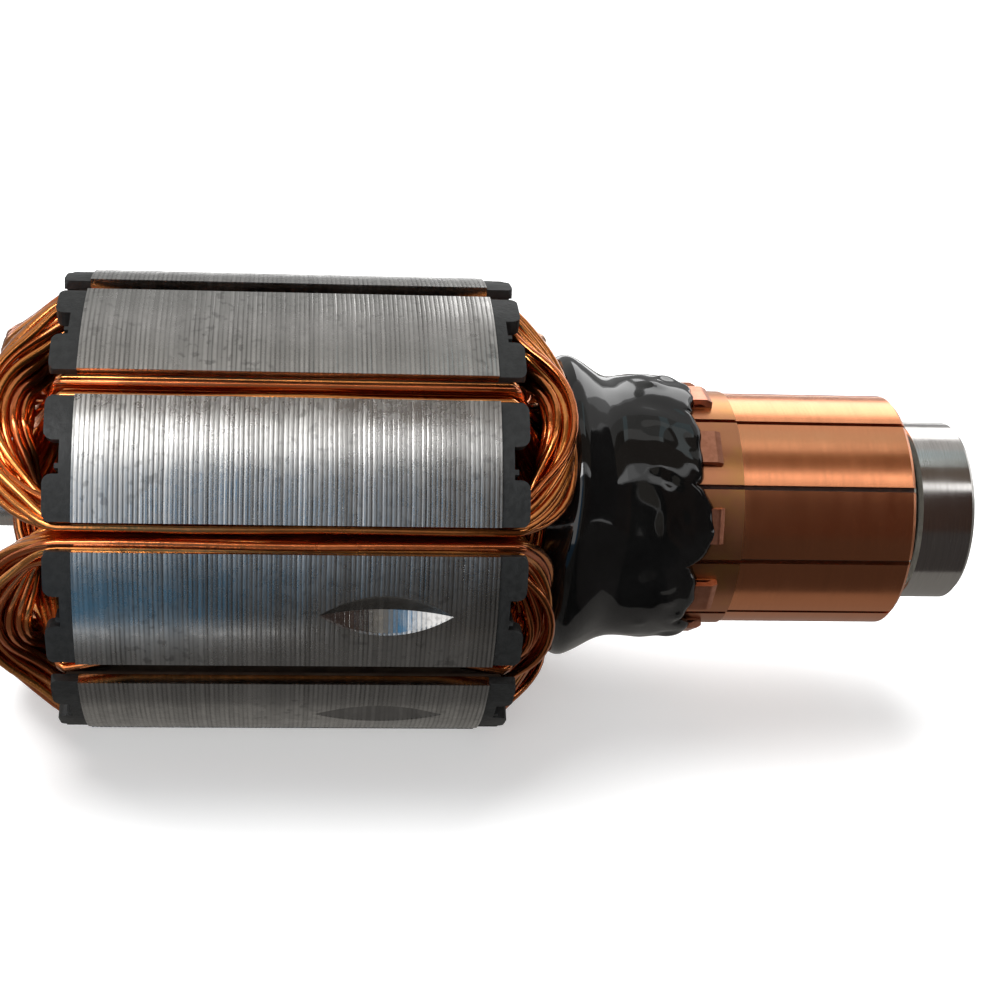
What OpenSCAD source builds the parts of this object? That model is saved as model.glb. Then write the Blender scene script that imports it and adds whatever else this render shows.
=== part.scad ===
// Armature of a small four-pole brushed motor. A ten-slot laminated core sits on a stepped
// steel shaft between two moulded end insulators. Ten wire coils span two teeth each. A
// ten-bar hook commutator follows, with resin over its connections, and then a ball bearing.
//
// The shaft lies along X with the commutator towards +X. The origin is on the shaft's axis at
// the middle of the core. One slot faces straight down, so the core rests on two tooth edges.

/* [Core] */
// Outside diameter of the lamination stack
core_d = 48; // [46:0.5:50]
// Length of the lamination stack
core_len = 40; // [34:1:46]
// Width of a tooth below its lips
tooth_w = 5.2; // [4.8:0.1:5.6]
// Width of the opening between two tooth lips
slot_opening = 2.8; // [2.4:0.1:3.2]
// Diameter of the circle that the slot floors touch
slot_floor_d = 24; // [23:0.5:25]
// Thickness of a tooth lip at the slot opening
lip_t = 1.2; // [1:0.1:1.4]
// Slope of a lip's underside in degrees
lip_angle = 18; // [14:1:22]
// Fillet radius in the corners of a slot
slot_fillet = 0.8; // [0.6:0.1:1]

/* [Balance cuts] */
// Diameter of the milling disc that cuts the balance grooves
balance_disc_d = 32; // [28:1:36]
// Depth of a balance groove in its middle
balance_depth = 1.35; // [1:0.05:1.5]
// Angle between the groove's two sides in degrees
balance_angle = 120; // [100:5:125]
// Distance of the grooves from the middle of the core
balance_x = 9.4; // [6:0.2:11]

/* [Insulation] */
// Thickness of the end insulators over the tooth ends
plate_t = 1.2; // [1:0.1:1.4]
// How far the end insulators' lugs reach beyond the core
lug_reach = 2.7; // [2.2:0.1:3]
// Radial thickness of a lug
lug_t = 1.7; // [1.4:0.1:1.9]
// How far the lugs lie below the core's surface
lug_step = 0.25; // [0.1:0.05:0.4]
// Corner radius of a lug
lug_corner = 0.9; // [0.6:0.1:1.1]
// Width of the notch between the two lugs of a tooth
notch_w = 3.2; // [2.6:0.1:3.6]
// Width of the small rib beside the notch
rib_w = 0.5; // [0.4:0.1:0.7]
// Length of the small rib beside the notch
rib_len = 1.6; // [1.3:0.1:1.9]
// Wall of the insulator's sleeve round the shaft
sleeve_t = 1.5; // [1.2:0.1:1.8]
// How far the insulator's sleeve reaches beyond the core
sleeve_reach = 4.4; // [3.6:0.2:4.8]
// Thickness of a slot liner
liner_t = 0.3; // [0.2:0.05:0.4]

/* [Windings] */
// Diameter of the winding wire over its enamel
wire_d = 0.9; // [0.8:0.05:0.95]
// How far the outer coils reach beyond the core at the drive end
outer_reach = 10.3; // [9.9:0.1:10.6]
// How far the outer coils reach beyond the core at the commutator
pressed_reach = 8.6; // [8.4:0.1:9]
// Width of an outer coil's end turn at the commutator
pressed_w = 3.6; // [3.2:0.1:3.7]
// Thickness of an outer coil's end turn at the commutator
pressed_t = 4.2; // [3.8:0.1:4.4]
// Width of an outer coil's end turn along the shaft
outer_w = 5.4; // [4.8:0.1:5.6]
// Thickness of an outer coil's end turn
outer_t = 3.5; // [3:0.1:3.8]
// Radius of an outer coil's end turn at its middle
outer_r = 17; // [16.6:0.1:17.6]
// How far the inner coils reach beyond the core
inner_reach = 6.9; // [6.8:0.1:7.1]
// Width of an inner coil's end turn along the shaft
inner_w = 5.2; // [4.8:0.1:5.4]
// Thickness of an inner coil's end turn
inner_t = 3.6; // [3.2:0.1:3.8]
// Radius of an inner coil's end turn at its middle
inner_r = 11.2; // [10.8:0.1:11.4]
// Distance between the outer coils and the inner coils' end turns
coil_clearance = 1.2; // [1:0.1:1.4]

/* [Commutator] */
// Diameter of the turned brush track
track_d = 24.6; // [24:0.2:25.2]
// Height of the unturned band beside the hooks above the brush track
band_step = 0.2; // [0.1:0.05:0.4]
// Length of a bar
bar_len = 23; // [21:0.5:26]
// Length of the unturned band
band_len = 5; // [4.6:0.1:6]
// Distance from the core to the bars
bar_offset = 21.2; // [20.6:0.2:23]
// Thickness of a bar at its ends
bar_t = 1.4; // [1.2:0.1:1.6]
// Distance from a bar's ends to its dovetail foot's neck
neck_inset = 3; // [2.6:0.2:4]
// Depth of the neck below the brush track
neck_depth = 1.8; // [1.7:0.1:2]
// Depth of the dovetail foot below the brush track
foot_depth = 3.1; // [2.8:0.1:3.4]
// How far the dovetail foot reaches past its neck
foot_flare = 1.2; // [0.8:0.1:1.6]
// Width of the slot between two bars
bar_gap = 0.5; // [0.4:0.05:0.7]
// How far the slots are undercut below the brush track
undercut = 0.8; // [0.6:0.1:1]
// Width of a hook
hook_w = 3.6; // [3.2:0.1:4]
// Length of a hook
hook_len = 2.8; // [2.6:0.1:3.4]
// Height of a hook above the unturned band
hook_h = 0.85; // [0.75:0.05:1]
// Thickness of a hook
hook_t = 0.55; // [0.45:0.05:0.6]
// Diameter of the moulded hub's collar towards the core
collar_d = 15; // [13:0.5:16]
// How far the moulded hub's ends lie below the brush track
hub_step = 1.6; // [1.4:0.1:1.8]
// Chamfer on the moulded hub's outer end
hub_chamfer = 0.5; // [0.3:0.1:0.6]
// Length of the moulded hub's collar
collar_len = 8.6; // [8:0.2:9]

/* [Resin] */
// Diameter of the resin where it meets the coils
resin_d = 32.6; // [31:0.2:34]
// Diameter of the resin's waist
waist_d = 27.8; // [27.4:0.2:28.6]
// Height of the lumps on the resin
lump_h = 0.28; // [0.15:0.01:0.35]
// How far the resin's lobes run over the hooks
lobe_reach = 2; // [1.4:0.1:2.4]
// Thickness of the resin's bead where it reaches the hooks
bead_t = 0.45; // [0.4:0.05:0.6]
// Thickness of the resin at the lobes' edge
lobe_t = 0.25; // [0.2:0.05:0.35]
// Swelling of the resin between its waist and the hooks
swell_h = 0.3; // [0.2:0.05:0.4]
// Rounding of the resin's edge at the coils
resin_round = 0.9; // [0.7:0.1:1.1]

/* [Bearing] */
// Outside diameter of the ball bearing
bearing_d = 19; // [18.6:0.1:20]
// Width of the ball bearing
bearing_w = 6; // [5.8:0.1:6.4]
// Distance from the bars to the bearing
bearing_offset = 1.3; // [1:0.1:2]
// Outside diameter of the inner ring
inner_ring_d = 9.6; // [9.2:0.1:10]
// Inside diameter of the outer ring
outer_ring_bore = 15.4; // [15:0.1:15.8]
// Diameter of a ball
ball_d = 3.5; // [3.4:0.05:3.6]
// Number of balls
ball_count = 7; // [6:1:7]
// Thickness of a bearing seal
seal_t = 0.4; // [0.3:0.05:0.5]
// How far the seals lie below the bearing's faces
seal_inset = 0.15; // [0.1:0.05:0.25]
// Depth of the seals' groove in the outer ring
seal_groove = 0.3; // [0.2:0.05:0.4]
// Radial thickness of the ball cage
cage_t = 0.9; // [0.7:0.1:1]
// Width of the cage's edge beside a ball
cage_edge = 0.25; // [0.2:0.05:0.3]

/* [Shaft] */
// Diameter of the shaft through the core and the commutator
shaft_d = 8; // [7.6:0.1:8.4]
// Diameter of the journals at both ends
journal_d = 6; // [5.6:0.1:6.2]
// Length of the drive end beyond the core
drive_len = 32; // [24:1:40]
// Distance from the core to the drive end's shoulder
shoulder_offset = 5; // [4.9:0.1:6]
// Chamfer on the shaft's ends and edges
chamfer = 0.4; // [0.2:0.05:0.6]

/* [Hidden] */
// Counts that the winding scheme depends on
slots = 10;
coil_span = 2;
pitch = 360 / slots;
seat_gap = 0.02;     // between pieces pressed or moulded together
wire_gap = 0.1;      // between a coil and what it lies against
run_gap = 0.03;      // running clearance of the balls
seal_gap = 0.15;     // between a seal's lip and the inner ring
resin_gap = 0.12;    // between the resin and what it covers
lip_clearance = 0.1; // kept by the wires from the slot's corners
hook_root = 0.3;     // depth of a hook's root in its bar
race_play = 1.04;    // radius of a race over a ball's
eps = 0.05;
round_fn = 96;

core_r = core_d / 2;
shaft_r = shaft_d / 2;
journal_r = journal_d / 2;
floor_r = slot_floor_d / 2;
track_r = track_d / 2;
band_r = track_r + band_step;
collar_r = collar_d / 2;
half_open = slot_opening / 2;

core_end = core_len / 2;
plate_end = core_end + plate_t;
bar_start = core_end + bar_offset;
bar_end = bar_start + bar_len;
band_end = bar_start + band_len;
hook_end = bar_start + hook_len;
hook_top = band_r + hook_h;
collar_start = bar_start - collar_len - eps;
hub_end = bar_end + 0.5 * bearing_offset;
bearing_start = bar_end + bearing_offset;
bearing_end = bearing_start + bearing_w;
bearing_mid = bearing_start + bearing_w / 2;
drive_end = -core_end - drive_len;

insert_t = seat_gap + liner_t + wire_gap;   // from a slot's wall to the wire
outer_floor = inner_r + inner_t / 2 + coil_clearance;

// ---------------------------------------------------------------- shared geometry

function unit(v) = v / norm(v);
function ease(t) = t * t * (3 - 2 * t);
function mix(a, b, t) = a + (b - a) * t;

// Points of the arc of radius r that rounds corner b between its neighbours a and c
function fillet(a, b, c, r, n = 4) =
    let (u = unit(a - b), w = unit(c - b), half = acos(u * w) / 2,
         centre = b + unit(u + w) * r / sin(half), start = b + u * r / tan(half) - centre,
         first = atan2(start.y, start.x), turn = -sign(cross(u, w)) * (180 - 2 * half))
    [for (k = [0:n]) centre + r * [cos(first + turn * k / n), sin(first + turn * k / n)]];

// Half the slot's width at x along the slot, with the tooth's side moved in by t
function flank(x, t) = (x * sin(pitch / 2) - tooth_w / 2 - t) / cos(pitch / 2);

// Where the underside of the lip, moved in by t, meets the edge of the opening
function lip_x(t) = core_r - lip_t - t / cos(lip_angle);

// The corner between the tooth's side and its lip, with both moved in by t
function lip_corner(t) =
    let (k = tan(lip_angle), c = (tooth_w / 2 + t) / cos(pitch / 2),
         x = (lip_x(t) + k * (c + half_open)) / (1 + k * tan(pitch / 2)))
    [x, flank(x, t)];

// Outline of a slot below the lips, moved in by t, from its floor to the opening and back
function slot_outline(t) =
    let (f = [floor_r + t, 0], a = [floor_r + t, flank(floor_r + t, t)], b = lip_corner(t),
         c = [lip_x(t), half_open], r = slot_fillet - t,
         side = concat(fillet(f, a, b, min(r, 0.8 * a.y)), fillet(a, b, c, r), [c]))
    concat(side, [for (k = [len(side) - 1:-1:0]) [side[k].x, -side[k].y]]);

module turned(profile) {
    rotate([90, 0, 90]) rotate_extrude($fn = round_fn) polygon([for (p = profile) [p.y, p.x]]);
}

// Stands a flat shape up across the shaft, from x1 to x2
module across(x1, x2) {
    translate([x1, 0, 0]) rotate([90, 0, 90]) linear_extrude(x2 - x1) children();
}

module at_slots() {
    for (i = [0:slots - 1]) rotate((i + 0.5) * pitch) children();
}

module at_teeth() {
    for (i = [0:slots - 1]) rotate(i * pitch) children();
}

module slot_cut() {
    polygon(slot_outline(0));
    translate([lip_x(0) - eps, -half_open]) square([lip_t + 1, slot_opening]);
}

// ---------------------------------------------------------------- shaft and core

module shaft() {
    c = chamfer;
    color("silver") turned([
        [drive_end, 0], [drive_end, journal_r - c], [drive_end + c, journal_r],
        [-core_end - shoulder_offset, journal_r], [-core_end - shoulder_offset, shaft_r - c],
        [-core_end - shoulder_offset + c, shaft_r], [bearing_start, shaft_r],
        [bearing_start, journal_r], [bearing_end - 2 * c, journal_r],
        [bearing_end - c, journal_r - c], [bearing_end - c, 0]]);
}

// A groove left by a double-cone milling disc, cut to lighten the tooth at this angle
module balance_groove(angle) {
    disc_r = balance_disc_d / 2;
    half_w = disc_r / 3;
    rim = half_w / tan(balance_angle / 2);
    rotate([angle, 0, 0]) translate([balance_x, core_r - balance_depth + disc_r, 0])
        rotate_extrude($fn = round_fn)
            polygon([[0, -half_w], [disc_r - rim, -half_w], [disc_r, 0],
                     [disc_r - rim, half_w], [0, half_w]]);
}

module core_stack() {
    color("darkgray") difference() {
        across(-core_end, core_end) difference() {
            circle(core_r, $fn = round_fn);
            circle(shaft_r + seat_gap, $fn = round_fn);
            at_slots() slot_cut();
        }
        for (k = [5, 6]) balance_groove(k * pitch);
    }
}

// ---------------------------------------------------------------- insulation

// The flat outline of the insulator against the core's end: a star with the core's slots
module insulator_star() {
    difference() {
        circle(core_r - lug_step, $fn = round_fn);
        circle(shaft_r + seat_gap, $fn = round_fn);
        at_slots() slot_cut();
    }
}

// The face of one tooth's pair of lugs, seen from outside: length along x, width along y
module lug_face() {
    tip_half = core_r * sin(pitch / 2 - asin(half_open / core_r));
    lug_w = tip_half - notch_w / 2;
    for (side = [-1, 1]) {
        inner = side * notch_w / 2;
        outer = side * tip_half;
        polygon(concat([[-eps, inner], [-eps, outer]],
            fillet([0, outer], [lug_reach, outer], [lug_reach, inner], min(lug_corner, lug_w / 3)),
            fillet([lug_reach, outer], [lug_reach, inner], [0, inner], min(lug_corner, lug_w / 3))));
    }
}

module lugs() {
    intersection() {
        across(core_end, core_end + lug_reach + eps) difference() {
            circle(core_r - lug_step, $fn = round_fn);
            circle(core_r - lug_step - lug_t, $fn = round_fn);
            at_slots() slot_cut();
        }
        for (i = [0:slots - 1]) rotate([i * pitch, 0, 0]) {
            translate([core_end, core_r / 2, 0]) rotate([-90, 0, 0]) linear_extrude(core_r)
                mirror([0, 1]) lug_face();
            translate([core_end, core_r / 2, notch_w / 2 - 2 * rib_w])
                cube([rib_len, core_r, rib_w]);
        }
    }
}

module end_insulator() {
    color("#262626") {
        across(core_end, plate_end) insulator_star();
        lugs();
        across(plate_end - eps, core_end + sleeve_reach) difference() {
            circle(shaft_r + sleeve_t, $fn = round_fn);
            circle(shaft_r + seat_gap, $fn = round_fn);
        }
    }
}

module slot_liner(i) {
    color("#3a3a3a") rotate([(i + 0.5) * pitch, 0, 0]) across(-plate_end, plate_end) difference() {
        polygon(slot_outline(seat_gap));
        polygon(slot_outline(seat_gap + liner_t));
        translate([lip_x(seat_gap + liner_t) - eps, -half_open])
            square([2 * liner_t + 2 * eps, slot_opening]);
    }
}

// ---------------------------------------------------------------- windings

// A coil's section has a ring of points: first the wires along its long side, then the wires
// over its outer edge, then the hidden back. Odd points are the crests of single wires.
side_wires = 7;
edge_wires = 2;
side_n = 2 * side_wires;
edge_n = 2 * edge_wires;
section_n = side_n + edge_n + 4;
turn_steps = 10;
flute = wire_d / 4;

// Corners of the half slot that one coil side fills, from its floor at radius low:
// [floor at the slot's middle, floor at the tooth, lip at the tooth, top at the opening,
// top at the slot's middle], as [distance from the axis, distance from the slot's middle]
function half_slot(low) =
    let (t = insert_t, lip = lip_corner(t), floor_x = max(low, floor_r + t), cut = slot_fillet / 2,
         tooth = unit([floor_x, flank(floor_x, t)] - lip))
    [[floor_x, wire_gap], [floor_x, flank(floor_x, t) - lip_clearance],
     lip + tooth * cut - [0, lip_clearance / 2],
     [lip_x(t) - lip_clearance, half_open], [lip_x(t) - lip_clearance, wire_gap]];

// The coil side's section in its slot, round the point m
function slot_section(low, m) =
    let (q = half_slot(low))
    [for (k = [0:section_n - 1])
        let (p = k <= side_n ? mix(q[1], q[2], k / side_n)
               : k <= side_n + edge_n ? mix(q[2], q[3], (k - side_n) / edge_n)
               : [q[4], (q[0] + q[4]) / 2, q[0]][k - side_n - edge_n - 1],
             f = k <= side_n + edge_n && k % 2 == 0 ? flute : 0)
        p - m - f * (k < side_n ? [0, 1] : [0.7, 0.7])];

// The section at the middle of the end turn, w long and t thick
function turn_section(w, t) =
    [for (k = [0:section_n - 1])
        let (p = k <= side_n ? [w * (k / side_n - 0.5), t / 2]
               : k <= side_n + edge_n ? [w / 2, t / 2 - 0.8 * t * (k - side_n) / edge_n]
               : [[w / 2 - t / 5, -t / 2], [0, -t / 2], [-w / 2, -t / 2]][k - side_n - edge_n - 1],
             f = k <= side_n + edge_n && k % 2 == 0 ? flute : 0)
        p - f * (k < side_n ? [0, 1] : [1, 0])];

// One end turn as rings of points, round a middle direction of +X, with Z along the shaft.
// angle runs from 0 at the first slot to 180 at the second.
function end_turn(reach, w, t, r, low) =
    let (q = half_slot(low), m = (q[0] + q[1] + q[2] + q[4]) / 4, span = coil_span * pitch / 2,
         lean = atan2(m.y, m.x), start = plate_end + 2 * wire_gap,
         rise = core_end + reach - w / 2 - start,
         in_slot = slot_section(low, m), in_turn = turn_section(w, t))
    [for (step = [0:turn_steps])
        let (angle = 180 * step / turn_steps, c = cos(angle), s = sin(angle), blend = ease(s),
             twist = 90 * s ^ 3, facing = -span * c, place = -(span - lean) * c,
             radial = [cos(facing), sin(facing), 0], around = [-sin(facing), cos(facing), 0],
             out = [0, 0, s] - around * c,
             long = radial * cos(twist) + out * sin(twist),
             flat = radial * sin(twist) - out * cos(twist),
             radius = mix(norm(m), r, blend),
             middle = [radius * cos(place), radius * sin(place), start + rise * s])
        [for (k = [0:section_n - 1])
            let (p = mix(in_slot[k], in_turn[k], blend)) middle + long * p.x + flat * p.y]];

// A whole coil: the end turn at the commutator, then one turned over at the drive end
// near and far are those turns' reach, width and thickness
module coil_body(near, far, r, low) {
    turn = end_turn(near[0], near[1], near[2], r, low);
    back = [for (ring = end_turn(far[0], far[1], far[2], r, low)) [for (p = ring) [p.x, -p.y, -p.z]]];
    rings = concat(turn, back);
    n = len(rings);
    m = section_n;
    polyhedron([for (ring = rings) each ring],
        [for (i = [0:n - 1], k = [0:m - 1]) let (j = (i + 1) % n, l = (k + 1) % m)
            each [[i * m + k, j * m + l, j * m + k], [i * m + k, i * m + l, j * m + l]]]);
}

// Coil i lies in slots i and i + 2. Even coils are wound last and pass outside the odd ones.
module coil(i) {
    is_outer = i % 2 == 0;
    color("#b0551e") rotate([(i + 1 + coil_span / 2 - 0.5) * pitch, 0, 0]) rotate([90, 0, 90])
        if (is_outer)
            coil_body([pressed_reach, pressed_w, pressed_t], [outer_reach, outer_w, outer_t],
                      outer_r, outer_floor);
        else coil_body([inner_reach, inner_w, inner_t], [inner_reach, inner_w, inner_t], inner_r, 0);
}

// ---------------------------------------------------------------- commutator

// Lengthwise section of the bars: track, unturned band and dovetail foot, grown by g
function bar_profile(g) =
    let (x1 = bar_start - g, x2 = bar_end + g, neck = neck_inset - g, foot = neck - foot_flare,
         c = chamfer)
    [[x1, band_r], [band_end, band_r], [band_end, track_r], [x2 - c, track_r],
     [x2, track_r - c], [x2, track_r - bar_t - g], [x2 - neck, track_r - neck_depth - g],
     [x2 - foot, track_r - foot_depth - g], [x1 + foot, track_r - foot_depth - g],
     [x1 + neck, track_r - neck_depth - g], [x1, track_r - bar_t - g]];

// The wedge between two neighbouring slots, for the bar whose middle is on +X
module bar_wedge(g) {
    far = 2 * band_r;
    side = bar_gap / 2 - g;
    tip = side / sin(pitch / 2);
    polygon([[tip, 0], tip * [1, 0] + far * [cos(pitch / 2), sin(pitch / 2)],
             tip * [1, 0] + far * [cos(pitch / 2), -sin(pitch / 2)]]);
}

// A hook folded back over the bar: a strip with an eye under it for the wire
module hook() {
    x = bar_start;
    top = hook_top;
    low = band_r - hook_root;
    translate([0, 0, -hook_w / 2]) linear_extrude(hook_w) difference() {
        polygon(concat([[x, low]],
            fillet([x, low], [x, top], [hook_end, top], hook_t),
            fillet([x, top], [hook_end - hook_t, top], [hook_end, band_r + hook_t], hook_t),
            [[hook_end, band_r + hook_t], [hook_end, low]]));
        polygon([[x + hook_t, band_r], [x + hook_t, top - hook_t],
                 [hook_end - 2 * hook_t, top - hook_t], [hook_end - hook_t, band_r]]);
    }
}

module bar_solid(g) {
    intersection() {
        turned(bar_profile(g));
        across(bar_start - 1, bar_end + 1) bar_wedge(g);
    }
}

module commutator_bar(i) {
    color("peru") rotate([(i + 0.5) * pitch, 0, 0]) {
        bar_solid(0);
        hook();
    }
}

module commutator_hub() {
    rib_r = track_r - undercut;
    end_r = track_r - hub_step;
    color("#2b1d17") difference() {
        turned([
            [collar_start, shaft_r + seat_gap], [collar_start, collar_r],
            [bar_start - eps, collar_r], [bar_start - eps, end_r], [bar_start, rib_r],
            [bar_end, rib_r], [bar_end, end_r],
            [hub_end - hub_chamfer, end_r], [hub_end, end_r - hub_chamfer],
            [hub_end, shaft_r + seat_gap]]);
        for (i = [0:slots - 1]) rotate([(i + 0.5) * pitch, 0, 0]) bar_solid(seat_gap);
    }
}

// ---------------------------------------------------------------- resin

resin_steps = 48;

// Lumps of the brushed-on resin at x and at the angle a
function lump(x, a) =
    lump_h * (sin(3 * a + 25 * x) + sin(7 * a - 40 * x + 60) * 0.6 + sin(11 * a + 70 * x) * 0.4);

// Edge of the resin: a lobe runs down each bar, and each lobe has its own length
function lobe(a) = lobe_reach * (0.35 + 0.3 * cos(slots * (a - pitch / 2)) + 0.2 * sin(2 * a + 30)
    + 0.15 * sin(3 * a + 80));

// Radius at which the resin just covers a hook's corners
cover_r = norm([hook_top, hook_w / 2]) + resin_gap;

// Section of the resin at the angle a: the flank from the coils to the waist, then the lobe
function resin_section(a) =
    let (x1 = core_end + pressed_reach + 2 * resin_gap, x2 = bar_start - resin_gap, len = x2 - x1,
         r1 = resin_d / 2, r2 = waist_d / 2, edge = x2 + lobe(a), bore = collar_r + resin_gap)
    concat(
        [[x1, bore], [x1, r1 - resin_round]],
        [for (p = [[0.05, r1], [0.22, mix(r2, r1, 0.45)], [0.42, r2], [0.6, r2 + swell_h],
                   [0.8, r2 + swell_h], [0.95, r2 + swell_h]])
            [x1 + p.x * len, p.y + lump(x1 + p.x * len, a)]],
        [[mix(x2, edge, 0.6), cover_r + bead_t + lump_h * sin(5 * a) / 3],
         [edge, cover_r + lobe_t], [edge - lobe_t / 2, cover_r], [x2, cover_r], [x2, bore]]);

module resin_collar() {
    rings = [for (j = [0:resin_steps - 1]) let (a = 360 * j / resin_steps)
        [for (p = resin_section(a)) [p.y * cos(a), p.y * sin(a), p.x]]];
    n = resin_steps;
    m = len(rings[0]);
    color("#151515") rotate([90, 0, 90]) polyhedron([for (ring = rings) each ring],
        [for (i = [0:n - 1], k = [0:m - 1]) let (j = (i + 1) % n, l = (k + 1) % m)
            each [[i * m + k, j * m + l, j * m + k], [i * m + k, i * m + l, j * m + l]]]);
}

// ---------------------------------------------------------------- ball bearing

ball_r = ball_d / 2;
ball_circle = (inner_ring_d + outer_ring_bore) / 4;
race_r = ball_r * race_play;
seal_x = bearing_w / 2 - seal_inset - seal_t;
seal_seat = outer_ring_bore / 2 + seal_groove;

// The deep groove that the balls run in, round the ball circle, off centre by its play
module race(offset) {
    translate([bearing_mid, 0, 0]) rotate([90, 0, 90]) rotate_extrude($fn = round_fn)
        translate([ball_circle + offset, 0]) circle(race_r, $fn = 48);
}

module ring_profile(inside, outside, c) {
    turned([
        [bearing_start, inside + c], [bearing_start, outside - c], [bearing_start + c, outside],
        [bearing_end - c, outside], [bearing_end, outside - c], [bearing_end, inside + c],
        [bearing_end - c, inside], [bearing_start + c, inside]]);
}

module bearing_inner_ring() {
    color("lightgray") difference() {
        ring_profile(journal_r + seat_gap, inner_ring_d / 2, chamfer / 2);
        race(race_r - ball_r - run_gap);
    }
}

module bearing_outer_ring() {
    color("silver") difference() {
        ring_profile(outer_ring_bore / 2, bearing_d / 2, chamfer);
        race(ball_r + run_gap - race_r);
        for (side = [-1, 1]) seal_seat_cut(side);
    }
}

// The groove that one seal is pressed into, open at the bearing's face
module seal_seat_cut(side) {
    reach = bearing_w / 2 + 1 - seal_x;
    translate([bearing_mid + side * (seal_x + reach / 2) - reach / 2, 0, 0]) rotate([90, 0, 90])
        cylinder(h = reach, r = seal_seat, $fn = round_fn);
}

module bearing_balls() {
    color("white") for (k = [0:ball_count - 1])
        rotate([360 * k / ball_count, 0, 0]) translate([bearing_mid, ball_circle, 0])
            sphere(ball_r, $fn = 48);
}

module bearing_cage() {
    half_w = ball_r + 2 * run_gap + cage_edge;
    color("goldenrod") difference() {
        turned([
            [bearing_mid - half_w, ball_circle - cage_t / 2],
            [bearing_mid - half_w, ball_circle + cage_t / 2],
            [bearing_mid + half_w, ball_circle + cage_t / 2],
            [bearing_mid + half_w, ball_circle - cage_t / 2]]);
        for (k = [0:ball_count - 1])
            rotate([360 * k / ball_count, 0, 0]) translate([bearing_mid, ball_circle - cage_t, 0])
                rotate([-90, 0, 0]) cylinder(h = 2 * cage_t, r = ball_r + 2 * run_gap, $fn = 48);
    }
}

module bearing_seal(side) {
    color("#202020") translate([bearing_mid + side * (seal_x + seal_t / 2) - seal_t / 2, 0, 0])
        rotate([90, 0, 90]) difference() {
            cylinder(h = seal_t, r = seal_seat - seat_gap, $fn = round_fn);
            translate([0, 0, -1]) cylinder(h = seal_t + 2, r = inner_ring_d / 2 + seal_gap, $fn = round_fn);
        }
}

// ---------------------------------------------------------------- assembly

shaft();
core_stack();
mirror([1, 0, 0]) end_insulator();  // end_insulator_drive
end_insulator();  // end_insulator_commutator
for (i = [0:slots - 1]) {
    slot_liner(i);
    coil(i);
    commutator_bar(i);
}
commutator_hub();
resin_collar();
bearing_inner_ring();
bearing_outer_ring();
bearing_balls();
bearing_cage();
bearing_seal(-1);  // bearing_seal_inboard
bearing_seal(1);  // bearing_seal_outboard
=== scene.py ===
"""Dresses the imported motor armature: wound coils of single wires, brushed-on resin, and the
finishes of the core, commutator, shaft and bearing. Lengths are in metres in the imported
model's frame: the shaft lies along X, with the commutator towards +X."""

import math
from typing import NamedTuple

import bpy
import numpy as np
from mathutils import Euler, Matrix, Vector


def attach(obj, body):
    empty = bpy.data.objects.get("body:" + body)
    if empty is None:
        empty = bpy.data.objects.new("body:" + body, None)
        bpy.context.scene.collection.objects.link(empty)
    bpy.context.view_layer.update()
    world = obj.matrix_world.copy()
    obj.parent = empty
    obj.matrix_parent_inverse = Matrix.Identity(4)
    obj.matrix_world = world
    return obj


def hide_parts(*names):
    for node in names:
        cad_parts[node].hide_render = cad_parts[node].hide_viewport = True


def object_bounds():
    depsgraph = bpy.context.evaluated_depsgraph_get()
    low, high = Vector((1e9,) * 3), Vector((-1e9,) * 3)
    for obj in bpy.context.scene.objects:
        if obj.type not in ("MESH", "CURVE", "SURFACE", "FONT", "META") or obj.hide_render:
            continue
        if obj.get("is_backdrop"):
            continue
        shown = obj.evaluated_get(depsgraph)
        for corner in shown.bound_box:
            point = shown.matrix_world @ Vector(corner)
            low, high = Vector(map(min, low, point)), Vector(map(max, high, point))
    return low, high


bl_info = {
    "name": "Motor armature",
    "version": (1, 0, 0),
    "blender": (4, 5, 0),
    "location": "3D View > Sidebar > Motor armature",
    "description": "Winds, coats and finishes the armature of a small brushed motor",
    "category": "Object",
}

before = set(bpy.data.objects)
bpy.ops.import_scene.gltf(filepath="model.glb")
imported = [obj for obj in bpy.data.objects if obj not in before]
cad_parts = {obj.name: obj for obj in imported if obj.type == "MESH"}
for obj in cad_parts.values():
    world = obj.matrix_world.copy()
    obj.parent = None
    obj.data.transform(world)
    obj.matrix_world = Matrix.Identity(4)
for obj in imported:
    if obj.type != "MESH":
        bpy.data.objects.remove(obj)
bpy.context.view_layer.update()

MM = 0.001
SLOTS = 10
FULL_TURN = 2 * math.pi
PITCH = FULL_TURN / SLOTS


# ---------------------------------------------------------------- settings


class CoreSettings(bpy.types.PropertyGroup):
    """Sizes and colours of the laminated core"""

    sheet: bpy.props.FloatProperty(
        name="Sheet thickness",
        description="Distance from one steel sheet to the next",
        default=0.46 * MM,
        min=0.2 * MM,
        max=1.0 * MM,
        unit="LENGTH",
        precision=5,
    )
    steel: bpy.props.FloatVectorProperty(
        name="Steel",
        description="Colour of the sheets' ground edges",
        default=(0.5, 0.49, 0.475),
        size=3,
        min=0,
        max=1,
        subtype="COLOR",
    )
    plastic: bpy.props.FloatVectorProperty(
        name="Insulator",
        description="Colour of the moulded end insulators",
        default=(0.01, 0.0105, 0.0105),
        size=3,
        min=0,
        max=1,
        subtype="COLOR",
    )


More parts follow.
